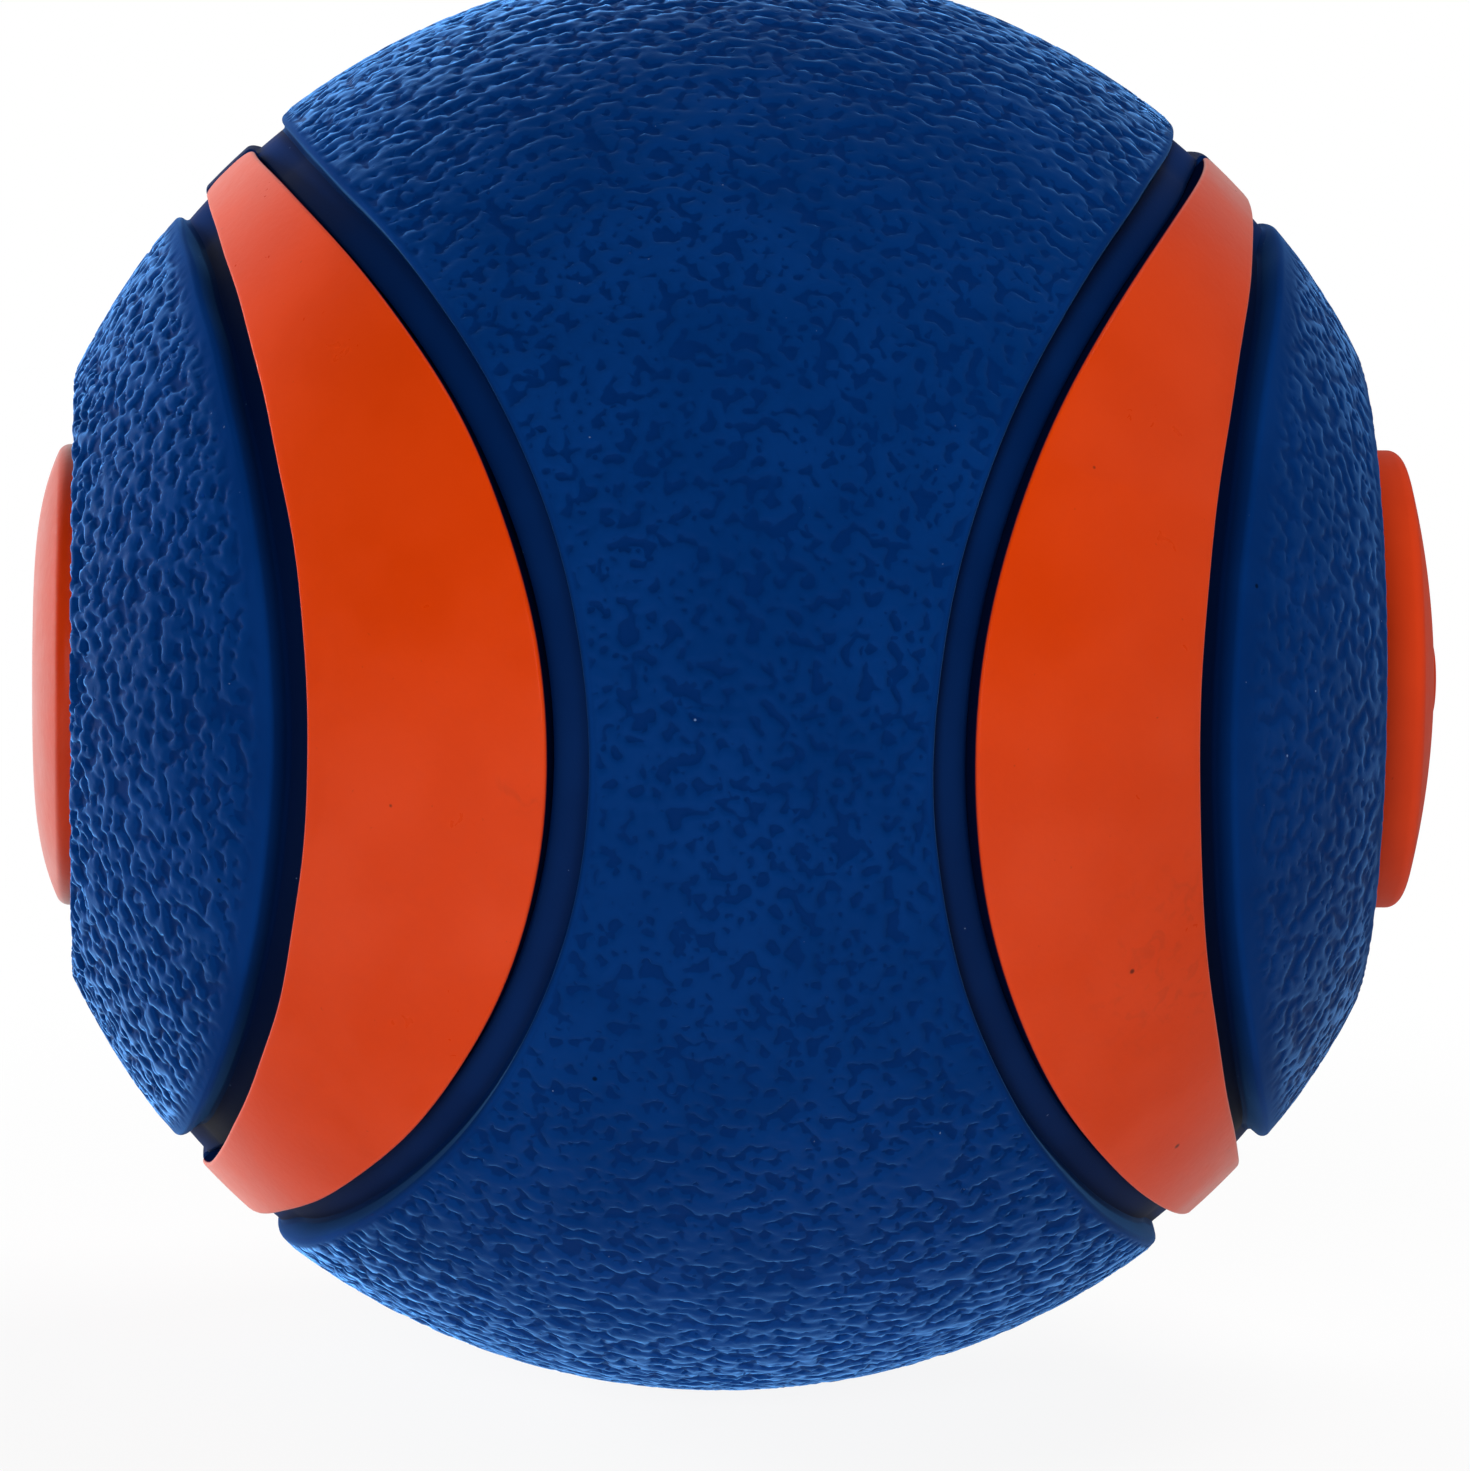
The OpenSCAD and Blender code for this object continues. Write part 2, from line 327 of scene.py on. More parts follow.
def groove_edges(phi, seed):
    """Polar angles of the groove's wall on the belt side and on the pole side."""
    belt = edge_polar(phi, BELT_CIRCLE, GROOVE_BELT) + drift(phi, seed)
    pole = edge_polar(phi, POLE_CIRCLE, -GROOVE_POLE) + drift(phi, seed + 1)
    return belt, pole


def inside_bridge(phi):
    """How far each meridian lies inside the nearest bridge, less than 0 outside it."""
    return np.max([np.minimum(phi - start, end - phi) for start, end in BRIDGES], axis=0) * NECK_R


def groove_depth(phi):
    """Depth of the groove, which runs out towards the bridges."""
    return GROOVE_DEPTH - RUN_OUT * (1 - smoothstep(0, RUN_OUT_LENGTH, -inside_bridge(phi)))


def lip(radius):
    """Points (along, drop) of the round from a face to the wall below its edge."""
    steps = np.linspace(0, math.pi / 2, ROUND_STEPS + 1)
    return [(radius * (1 - math.sin(a)), radius * (1 - math.cos(a))) for a in steps]


def foot(radius, depth):
    """Points (along, drop) of the concave round from a wall to the floor at that depth."""
    steps = np.linspace(0, math.pi / 2, ROUND_STEPS + 1)
    return [(radius * (math.cos(a) - 1), depth - radius * (1 - math.sin(a))) for a in steps]


def smoothstep(low, high, value):
    """0 up to low, 1 from high on, and a smooth rise between."""
    t = np.clip((value - low) / (high - low), 0, 1)
    return t * t * (3 - 2 * t)


def view_axes():
    """The camera's ways right, up and back."""
    look = (
        Matrix.Rotation(ROLL, 3, "Y") @ Matrix.Rotation(PITCH, 3, "X") @ Matrix.Rotation(YAW, 3, "Z")
    ).transposed()
    return look @ Vector((1, 0, 0)), look @ Vector((0, 0, 1)), look @ Vector((0, -1, 0))


def on_ball(pixel_x, pixel_y):
    """The point of the ball that the photograph shows at a pixel."""
    right, up, back = view_axes()
    start = back * CAMERA_DISTANCE
    way = right * (pixel_x - BALL_PX[0]) + up * (BALL_PX[1] - pixel_y) - back * FOCAL_PX
    way.normalize()
    near = -start.dot(way)
    return start + way * (near - math.sqrt(near * near - start.length_squared + BALL_R * BALL_R))


# Nodes
def new_node(tree, kind, links=(), **settings):
    """A node with its settings. links are pairs of input name and the socket that feeds it,
    and a setting whose name is an input's sets that input's value."""
    node = tree.nodes.new(kind)
    for name, value in settings.items():
        socket = node.inputs.get(name.replace("_", " "))
        if hasattr(node, name) and socket is None:
            setattr(node, name, value)
        else:
            socket.default_value = value
    for name, source in links:
        tree.links.new(source, node.inputs[name])
    return node


def noise(tree, place, cell, detail=0.0, distortion=0.0):
    """Soft noise from 0 to 1 whose features are about one cell wide."""
    node = new_node(
        tree, "ShaderNodeTexNoise", [("Vector", place)],
        Scale=1 / cell, Detail=detail, Distortion=distortion,
    )
    return node.outputs[0]


def ramp(tree, value, low, high, start=0.0, end=1.0):
    """Smooth step of value between low and high, from start to end."""
    node = tree.nodes.new("ShaderNodeMapRange")
    node.interpolation_type = "SMOOTHSTEP"
    tree.links.new(value, node.inputs["Value"])
    for name, number in (("From Min", low), ("From Max", high), ("To Min", start), ("To Max", end)):
        node.inputs[name].default_value = number
    return node.outputs["Result"]


def maths(tree, operation, first, second):
    """The sum, product or other combination of two sockets or numbers."""
    node = tree.nodes.new("ShaderNodeMath")
    node.operation = operation
    for slot, value in enumerate((first, second)):
        if isinstance(value, (int, float)):
            node.inputs[slot].default_value = value
        else:
            tree.links.new(value, node.inputs[slot])
    return node.outputs[0]


# Grain
def grain_nodes(tree, place):
    """The grain's height, 0 in a pit and 1 on a plateau. Shapes and shaders share these nodes."""
    swell = noise(tree, place, GRAIN_CELL, distortion=GRAIN_WARP)
    walls = ramp(tree, swell, *WALL_RANGE, 0.0, WALL_SHARE)
    domes = ramp(tree, swell, *DOME_RANGE, 0.0, 1 - WALL_SHARE)
    pits = ramp(tree, noise(tree, place, PIT_CELL), *PIT_RANGE)
    return maths(tree, "MULTIPLY", maths(tree, "ADD", walls, domes), pits)


def grain_height(points):
    """The grain's height at an array of points."""
    tree = bpy.data.node_groups.new("grain_height", "GeometryNodeTree")
    tree.interface.new_socket("Geometry", in_out="INPUT", socket_type="NodeSocketGeometry")
    tree.interface.new_socket("Geometry", in_out="OUTPUT", socket_type="NodeSocketGeometry")
    start = tree.nodes.new("NodeGroupInput")
    end = tree.nodes.new("NodeGroupOutput")
    place = tree.nodes.new("GeometryNodeInputPosition")
    store = tree.nodes.new("GeometryNodeStoreNamedAttribute")
    store.inputs["Name"].default_value = "grain"
    tree.links.new(start.outputs[0], store.inputs["Geometry"])
    tree.links.new(grain_nodes(tree, place.outputs[0]), store.inputs["Value"])
    tree.links.new(store.outputs[0], end.inputs[0])

    flat = points.reshape(-1, 3)
    mesh = bpy.data.meshes.new("grain_points")
    mesh.vertices.add(len(flat))
    mesh.vertices.foreach_set("co", flat.astype(np.float32).ravel())
    obj = collect("grain_points", mesh)
    obj.modifiers.new("grain", "NODES").node_group = tree
    made = obj.evaluated_get(bpy.context.evaluated_depsgraph_get())
    height = np.zeros(len(flat), np.float32)
    made.data.attributes["grain"].data.foreach_get("value", height)
    bpy.data.objects.remove(obj)
    bpy.data.meshes.remove(mesh)
    bpy.data.node_groups.remove(tree)
    return height.reshape(points.shape[:-1]).astype(float)


# Meshes made of rows of points
class Rings:
    """Rows of points round the X axis on the +X side, from which one closed piece is made."""

    def __init__(self, phi):
        self.phi = phi
        self.rows = []
        self.shares = []
        self.hollows = []
        self.rises = []
        self.sharp = []

    def add(self, x, rho, share=0.0, rise=None, sharp=False, hollow=0.0):
        """A row at x, rho from the axis. share is how deep the grain is there, rise the way up,
        and the last argument how much painted shade, standing in for a groove's shadow, darkens its
        colour."""
        ones = np.ones_like(self.phi)
        row = np.stack([x * ones, rho * np.cos(self.phi), rho * np.sin(self.phi)], axis=-1)
        if rise is None:
            rise = row / np.linalg.norm(row, axis=-1, keepdims=True)
        if sharp:
            self.sharp.append(len(self.rows))
        self.rows.append(row)
        self.shares.append(share * ones)
        self.hollows.append(hollow * ones)
        self.rises.append(rise * ones[:, None])

    def polar(self, theta, r, share=0.0, sharp=False, hollow=0.0):
        """A row at the polar angle theta from the +X axis, r from the ball's centre."""
        self.add(r * np.cos(theta), r * np.sin(theta), share, None, sharp, hollow)

    def shaped(self, left):
        """Rest points, points with the grain on them, grain shares and painted shade amounts, on either
        side.
        """
        side = np.array([-1.0 if left else 1.0, 1.0, 1.0])
        rest = np.array(self.rows) * side
        rise = np.array(self.rises) * side
        share = np.array(self.shares)
        lift = share * (grain_height(rest) - GRAIN_LEVEL) * GRAIN_DEPTH
        return rest, rest + rise * lift[..., None], share, np.array(self.hollows)


def loop_faces(rows, columns, loop_rows, loop_columns):
    """Quads between rows and columns of points, as an array of indices."""
    index = np.arange(rows * columns).reshape(rows, columns)
    right = np.roll(index, -1, axis=1)
    up = np.roll(index, -1, axis=0)
    both = np.roll(right, -1, axis=0)
    quads = np.stack([index, right, both, up], axis=-1)
    if not loop_rows:
        quads = quads[:-1]
    if not loop_columns:
        quads = quads[:, :-1]
    return quads.reshape(-1, 4)


def fan(tip, ring):
    """Triangles from the point tip to a closed ring of points."""
    return [(tip, a, b) for a, b in zip(ring, ring[1:] + ring[:1])]


def outward(points, faces):
    """The faces, turned round if they face into the closed shape."""
    corners = np.array([f[:3] for f in faces] + [(f[0], f[2], f[3]) for f in faces if len(f) == 4])
    a, b, c = (points[corners[:, k]] for k in range(3))
    volume = np.einsum("ij,ij->i", a, np.cross(b, c)).sum()
    return faces if volume > 0 else [f[::-1] for f in faces]


def grid_mesh(name, rest, moved, share, hollow, loop_rows=True, loop_columns=True, sharp=(), tips=()):
    """Closed mesh over rows of points. tips are two points that close the first and last row,
    or the first and last column where the rows close on themselves instead."""
    rows, columns = moved.shape[:2]
    faces = loop_faces(rows, columns, loop_rows, loop_columns).tolist()
    index = np.arange(rows * columns).reshape(rows, columns)
    points = moved.reshape(-1, 3)
    rest_points = rest.reshape(-1, 3)
    shares = share.ravel()
    hollows = hollow.ravel()
    if len(tips):
        ends = (index[0], index[-1]) if loop_columns else (index[:, 0], index[:, -1])
        faces += fan(len(points), ends[0].tolist()[::-1]) + fan(len(points) + 1, ends[1].tolist())
        points = np.vstack([points, tips])
        rest_points = np.vstack([rest_points, tips])
        shares = np.append(shares, [0.0, 0.0])
        hollows = np.append(hollows, [0.0, 0.0])
    mesh = bpy.data.meshes.new(name)
    mesh.from_pydata(points.tolist(), [], outward(points, faces))
    mesh.update(calc_edges=True)
    mesh.polygons.foreach_set("use_smooth", np.ones(len(mesh.polygons), bool))
    place = mesh.attributes.new("rest", "FLOAT_VECTOR", "POINT")
    place.data.foreach_set("vector", rest_points.astype(np.float32).ravel())
    # Each point's painted shade, which stands in for a groove's shadow, goes to the materials as an
    # attribute.
    for label, values in (("grain_share", shares), ("hollow", hollows)):
        layer = mesh.attributes.new(label, "FLOAT", "POINT")
        layer.data.foreach_set("value", values.astype(np.float32))
    if len(sharp):
        ends = np.zeros(len(mesh.edges) * 2, np.int32)
        mesh.edges.foreach_get("vertices", ends)
        row = ends.reshape(-1, 2) // columns
        hard = (row[:, 0] == row[:, 1]) & np.isin(row[:, 0], sharp)
        layer = mesh.attributes.new("sharp_edge", "BOOLEAN", "EDGE")
        layer.data.foreach_set("value", hard)
    return mesh


# Shell
def even_turn(columns):
    """Meridians at even steps round the ball."""
    return np.linspace(0, TURN, columns, endpoint=False)


def belt_rings(seed):
    """Half of the middle zone, from the seam to the groove, with the cavity behind it."""
    phi = even_turn(BELT_COLUMNS)
    rings = Rings(phi)
    edge, _ = groove_edges(phi, seed)
    lip_start = edge + GROOVE_LIP / BALL_R
    for t in np.linspace(0, 1, BELT_ROWS, endpoint=False):
        theta = math.pi / 2 + (lip_start - math.pi / 2) * t
        share = smoothstep(*BELT_FADE, (theta - edge) * BALL_R)
        rings.polar(theta, BALL_R, share, sharp=t == 0)
    depth = groove_depth(phi)
    # The belt side's groove wall gets painted shade that deepens as it drops.
    for along, drop in lip(GROOVE_LIP) + foot(GROOVE_FOOT, depth):
        rings.polar(edge + along / BALL_R, BALL_R - drop, hollow=EDGE_SHADE * drop / depth)
    rings.sharp.append(len(rings.rows) - 1)
    corner = edge - GROOVE_FOOT / BALL_R
    for t in np.linspace(0, 1, CAVITY_ROWS):
        rings.polar(corner + (math.pi / 2 - corner) * t, CAVITY_R, sharp=t in (0, 1))
    return rings


def channel_rings(seed):
    """The groove's floor, the pocket that holds the bands, and the bridges between their ends."""
    ends = []
    for bridge in BRIDGES:
        for end, way in zip(bridge, (-1, 1)):
            ends.append(end + way * BRIDGE_STEP / NECK_R)
            ends += [end - way * along / NECK_R for along, _ in lip(BRIDGE_LIP)]
    phi = np.unique(np.concatenate([even_turn(CHANNEL_COLUMNS), ends]))
    inside = inside_bridge(phi)
    on_bridge = inside > -BRIDGE_STEP / 2
    # The floor's painted shade lightens towards the bridges.
    shade = 1 - END_LIGHT * (1 - smoothstep(0, END_FADE, -inside))
    rings = Rings(phi)
    groove_belt, groove_pole = groove_edges(phi, seed)
    belt = edge_polar(phi, BELT_CIRCLE) + BOND / BALL_R
    pole = edge_polar(phi, POLE_CIRCLE) - BOND / BALL_R
    corner_belt = groove_belt - GROOVE_FOOT / BALL_R
    corner_pole = groove_pole + GROOVE_FOOT / BALL_R
    floor_r = BALL_R - groove_depth(phi)
    # Painted shade on the belt side of the floor, darker along its edges than in the middle.
    for t in np.linspace(0, 1, FLOOR_ROWS):
        middle = smoothstep(0, EDGE_BLEND, t) * smoothstep(1, 1 - EDGE_BLEND, t)
        hollow = EDGE_SHADE + (BELT_FLOOR_SHADE * shade - EDGE_SHADE) * middle
        rings.polar(corner_belt + (belt - corner_belt) * t, floor_r, sharp=t == 0, hollow=hollow)
    width = (belt - pole) * BALL_R
    near_side = [along for along, _ in lip(BRIDGE_LIP)][::-1]
    stations = [along + 0 * width for along in near_side]
    stations += [width * share for share in BRIDGE_ROWS]
    stations += [width - along for along in near_side[::-1]]
    for along in stations:
        beside = np.maximum(BRIDGE_LIP - np.minimum(along, width - along), 0)
        before = np.maximum(BRIDGE_LIP - inside, 0)
        short = np.minimum(np.hypot(beside, before), BRIDGE_LIP)
        drop = BRIDGE_LIP - np.sqrt(BRIDGE_LIP**2 - short**2)
        # Bridge tops get half painted shade, and the pocket gets the pole side's painted shade.
        rings.polar(
            belt - along / BALL_R,
            np.where(on_bridge, BALL_R - BAND_SINK - drop, BALL_R - BAND_T - BOND),
            hollow=np.where(on_bridge, BRIDGE_SHADE, POLE_SHADE),
        )
    # The pole side of the floor gets the darkest painted shade.
    for t in np.linspace(0, 1, FLOOR_ROWS):
        rings.polar(pole + (corner_pole - pole) * t, floor_r, sharp=t == 1, hollow=POLE_SHADE * shade)
    for t in np.linspace(0, 1, CAVITY_ROWS):
        rings.polar(corner_pole + (corner_belt - corner_pole) * t, CAVITY_R, sharp=t in (0, 1))
    return rings


def pole_rings(seed, left):
    """The zone from the groove to the pole, with the flat, the cap's seat and the boss behind.
    Returns the rings and the two points on the axis that close the left one."""
    phi = even_turn(POLE_COLUMNS)
    rings = Rings(phi)
    if left:
        flat_x = FLAT_LEFT_X
        seat_x = SEAT_LEFT_X
        rim_share, rim_fade = RIM_LEFT
        boss_r = PEG_R + BOSS_WALL
        boss_x = PEG_X - PEG_FLOOR
        bore = [(PEG_X, PEG_R + BOND), (seat_x, PEG_R + BOND)]
        tips = [(-PEG_X, 0, 0), (-boss_x, 0, 0)]
    else:
        flat_x = FLAT_RIGHT_X
        seat_x = SEAT_RIGHT_X
        rim_share, rim_fade = RIM_RIGHT
        flange_x = seat_x - FLANGE_T
        boss_r = BARREL_R + BOSS_WALL
        boss_x = flange_x - SOCKET_L
        bore = [(boss_x, BARREL_R + BOND), (flange_x, BARREL_R + BOND)]
        bore += [(flange_x, FLANGE_R + BOND), (seat_x, FLANGE_R + BOND)]
        tips = []
    seat_r = CAP_R + BOND
    for x, rho in bore + [(seat_x, seat_r)]:
        rings.add(x, rho, sharp=True)

    flat_rim = math.acos(flat_x / BALL_R)
    flat_r = BALL_R * math.sin(flat_rim)
    for t in np.linspace(0, 1, FLAT_ROWS, endpoint=False):
        x = flat_x - FLAT_SINK * (1 - t)
        share = POLE_GRAIN["left" if left else "right"] * (1 + rim_share * t)
        rings.add(x, seat_r + (flat_r - seat_r) * t, share, np.array([1.0, 0, 0]), t == 0)
    _, edge = groove_edges(phi, seed)
    lip_start = edge - GROOVE_LIP / BALL_R
    for t in np.linspace(0, 1, POLE_ROWS, endpoint=False):
        theta = flat_rim + (lip_start - flat_rim) * t
        share = smoothstep(*POLE_FADE, (edge - theta) * BALL_R)
        share *= POLE_GRAIN["left" if left else "right"]
        share *= 1 + rim_share * (1 - smoothstep(0, rim_fade, (theta - flat_rim) * BALL_R))
        rings.polar(theta, BALL_R, share)
    # The pole side's groove wall gets painted shade that deepens as it drops.
    for along, drop in lip(GROOVE_LIP) + foot(GROOVE_FOOT, groove_depth(phi)):
        rings.polar(edge - along / BALL_R, BALL_R - drop, hollow=POLE_SHADE * drop / GROOVE_DEPTH)
    rings.sharp.append(len(rings.rows) - 1)

    corner = edge + GROOVE_FOOT / BALL_R
    boss_turn = math.asin(boss_r / CAVITY_R)
    for t in np.linspace(0, 1, CAVITY_ROWS):
        rings.polar(corner + (boss_turn - corner) * t, CAVITY_R, sharp=t in (0, 1))
    rings.add(boss_x, boss_r, sharp=True)
    return rings, tips


def seam_normals(mesh, one, other):
    """Shades the belt across its seam as one surface. one and other hold the two halves' rows."""
    along = np.roll(one[0], -1, axis=0) - np.roll(one[0], 1, axis=0)
    normal = np.cross(along, other[1] - one[1])
    normal /= np.linalg.norm(normal, axis=1, keepdims=True)
    normal *= np.sign(np.einsum("ij,ij->i", normal, one[0]))[:, None]
    normals = np.zeros((len(mesh.vertices), 3))
    normals[: len(normal)] = normal
    mesh.normals_split_custom_set_from_vertices(normals.tolist())


# Bands
def band_mesh(name, left, back, seed):
    """A crescent inlay with rounded edges and blunt round-cornered ends, closed underneath."""
    start = 3 * TURN / 4 + BACK_TURN if back else TURN / 4 + FRONT_TURN
    length = TURN / 2 - 2 * (BACK_TURN if back else FRONT_TURN)
    end_steps = [along for along, _ in lip(BAND_LIP)][::-1]
    end_steps += list(np.linspace(BAND_LIP, BAND_CORNER, ROUND_STEPS + 1))[1:]
    end_turns = np.array(end_steps) / NECK_R
    middle = np.linspace(end_turns[-1], length - end_turns[-1], BAND_COLUMNS)[1:-1]
    turns = np.concatenate([end_turns, middle, length - end_turns[::-1]])
    phi = start + turns
    to_end = np.minimum(turns, length - turns) * NECK_R
    corner = np.maximum(BAND_CORNER - to_end, 0)
    inset = BAND_CORNER - np.sqrt(BAND_CORNER**2 - corner**2)
    belt = edge_polar(phi, BELT_CIRCLE) + drift(phi, seed) - inset / BALL_R
    pole = edge_polar(phi, POLE_CIRCLE) + drift(phi, seed + 1) + inset / BALL_R
    width = (belt - pole) * BALL_R
    round_side = [along for along, _ in lip(BAND_LIP)][::-1]
    stations = [along + 0 * width for along in round_side]
    for t in np.linspace(0, 1, BAND_ROWS)[1:-1]:
        stations.append(BAND_LIP + (width - 2 * BAND_LIP) * t)
    stations += [width - along for along in round_side[::-1]]
    # The band's walls get full painted shade, and its lips get painted shade that grows as they drop,
    # standing in for the groove's shadow.
    dark = np.ones_like(width)
    bottom_r = (BALL_R - BAND_T) * dark
    wall_r = (BALL_R - GROOVE_DEPTH - BAND_LIP) * dark
    profile = [(belt, bottom_r, dark), (belt, wall_r, dark)]
    for along in stations:
        beside = np.maximum(BAND_LIP - np.minimum(along, width - along), 0)
        before = np.maximum(BAND_LIP - to_end, 0)
        short = np.minimum(np.hypot(beside, before), BAND_LIP)
        drop = BAND_LIP - np.sqrt(BAND_LIP**2 - short**2)
        top_r = BALL_R - BAND_SINK - drop
        shade = smoothstep(*BAND_WALL_FADE, drop / BAND_LIP)
        profile.append((belt - along / BALL_R, top_r, shade))
    profile += [(pole, wall_r, dark), (pole, bottom_r, dark)]
    rings = Rings(phi)
    for theta, r, hollow in profile:
        rings.polar(theta, r, hollow=hollow)
    rest, moved, share, hollow = rings.shaped(left)
    tips = [moved[:, 0].mean(axis=0), moved[:, -1].mean(axis=0)]
    return grid_mesh(name, rest, moved, share, hollow, loop_columns=False, tips=tips)


# Caps
def cap_side(seat_x, flat_x, top, dome, flatness):
    """Outline (x, rho) of a cap from its seat over the round shoulder to the dome's middle.
    The shoulder ends at the angle where its slope is the dome's, which a few steps find."""
    round_r = CAP_R - CAP_ROUND
    meet = math.radians(70)
    for _ in range(4):
        meet_r = round_r + CAP_ROUND * math.cos(meet)
        drop = dome * (meet_r / CAP_R) ** flatness
        meet = math.atan(meet_r / (flatness * drop))
    round_x = top - drop - CAP_ROUND * math.sin(meet)
    points = [(seat_x, CAP_R), (flat_x, CAP_R)]
    for a in np.linspace(0, meet, SHOULDER_STEPS):
        points.append((round_x + CAP_ROUND * math.sin(a), round_r + CAP_ROUND * math.cos(a)))
    for rho in np.linspace(meet_r, 0, CAP_ROWS)[1:-1]:
        points.append((top - dome * (rho / CAP_R) ** flatness, rho))
    return points


def cap_left_mesh():
    """Plain cap with the peg that holds it."""
    rings = Rings(even_turn(CAP_COLUMNS))
    outline = cap_side(SEAT_LEFT_X, FLAT_LEFT_X, CAP_LEFT_TOP, *CAP_LEFT_DOME)
    for x, rho in [(PEG_X, PEG_R), (SEAT_LEFT_X, PEG_R)]:
        rings.add(x, rho, sharp=True)
    for k, (x, rho) in enumerate(outline):
        rings.add(x, rho, sharp=k == 0)
    tips = [(-PEG_X, 0, 0), (-CAP_LEFT_TOP, 0, 0)]
    return grid_mesh("cap_left_rubber", *rings.shaped(True), False, True, rings.sharp, tips)


def cap_right_mesh():
    """Cap with the air hole, a low bead round it and the recess over the whistle."""
    rings = Rings(even_turn(CAP_COLUMNS))
    outline = cap_side(SEAT_RIGHT_X, FLAT_RIGHT_X, CAP_RIGHT_TOP, *CAP_RIGHT_DOME)
    bead_r = AIR_HOLE_R + AIR_RIM_R
    for x, rho in [(SEAT_RIGHT_X + PLENUM_DEPTH, PLENUM_R), (SEAT_RIGHT_X, PLENUM_R)]:
        rings.add(x, rho, sharp=True)
    for k, (x, rho) in enumerate(outline):
        if rho > bead_r + AIR_RIM_R:
            rings.add(x, rho, sharp=k == 0)
    for a in np.linspace(0, math.pi, 2 * ROUND_STEPS + 1):
        rho = bead_r + AIR_RIM_R * math.cos(a)
        rings.add(CAP_RIGHT_TOP + AIR_RIM_H * math.sin(a), rho)
    rings.add(SEAT_RIGHT_X + PLENUM_DEPTH, AIR_HOLE_R, sharp=True)
    return grid_mesh("cap_right_rubber", *rings.shaped(False), True, True, rings.sharp)


def reed_mesh():
    """The whistle's tongue: a thin strip with a round tip, in steps along its length."""
    low, high = reed_box
    half = high.y
    length = high.x - low.x
    tip = half * (1 - np.cos(np.linspace(0, math.pi / 2, REED_TIP_STEPS + 1)))
    strip = np.linspace(half, length, REED_STEPS)
    along = np.concatenate([tip[1:], strip[1:]])
    across = np.linspace(-1, 1, REED_COLUMNS)
    top = []
    for t in along:
        reach = half * math.sqrt(max(1 - max(1 - t / half, 0) ** 2, 0))
        top.append([(low.x + t, reach * s, 0) for s in across])
    top = np.array(top)
    above = top + np.array([0, 0, high.z])
    below = top[:, ::-1] + np.array([0, 0, low.z])
    sheet = np.concatenate([above, below], axis=1)
    tips = [(low.x, 0, (low.z + high.z) / 2), (high.x, 0, (low.z + high.z) / 2)]
    plain = np.zeros(sheet.shape[:2])
    return grid_mesh("reed_film", sheet, sheet, plain, plain, False, True, (), tips)


# Materials
def srgb(screen):
    """Linear colour for 8-bit screen values."""
    channels = [v / 255 for v in screen]
    return tuple(v / 12.92 if v <= 0.04045 else ((v + 0.055) / 1.055) ** 2.4 for v in channels) + (1.0,)


def new_material(name):
    """A material with its tree and shader."""
    material = bpy.data.materials.new(name)
    material.use_nodes = True
    tree = material.node_tree
    return material, tree, tree.nodes["Principled BSDF"]


def attribute(tree, name):
    """The node that reads a mesh attribute."""
    node = tree.nodes.new("ShaderNodeAttribute")
    node.attribute_name = name
    return node


def mix_colour(tree, share, first, second):
    """First colour where share is 0 and second where it is 1. Either may be a socket."""
    node = tree.nodes.new("ShaderNodeMix")
    node.data_type = "RGBA"
    tree.links.new(share, node.inputs["Factor"])
    for socket, value in ((node.inputs[6], first), (node.inputs[7], second)):
        if isinstance(value, tuple):
            socket.default_value = value
        else:
            tree.links.new(value, socket)
    return node.outputs[2]


def two_tone(tree, value, tones, spread=0.15):
    """A colour that wanders between two tones as a noise does."""
    first, second = tones
    return mix_colour(tree, ramp(tree, value, 0.5 - spread, 0.5 + spread), srgb(first), srgb(second))


def bump(tree, height, distance, below=None):
    """Normal with that height as relief, on top of the normal below."""
    node = tree.nodes.new("ShaderNodeBump")
    node.inputs["Distance"].default_value = distance
    tree.links.new(height, node.inputs["Height"])
    if below is not None:
        tree.links.new(below, node.inputs["Normal"])
    return node.outputs[0]


def marks(tree, place, spots):
    """1 on each spot and 0 beside it."""
    total = 0.0
    for pixel_x, pixel_y, radius in spots:
        away = new_node(tree, "ShaderNodeVectorMath", [(0, place)], operation="DISTANCE")
        away.inputs[1].default_value = on_ball(pixel_x, pixel_y)
        spot = ramp(tree, away.outputs["Value"], SPECK_CORE * radius, radius, 1.0, 0.0)
        total = maths(tree, "MAXIMUM", spot, total)
    return total


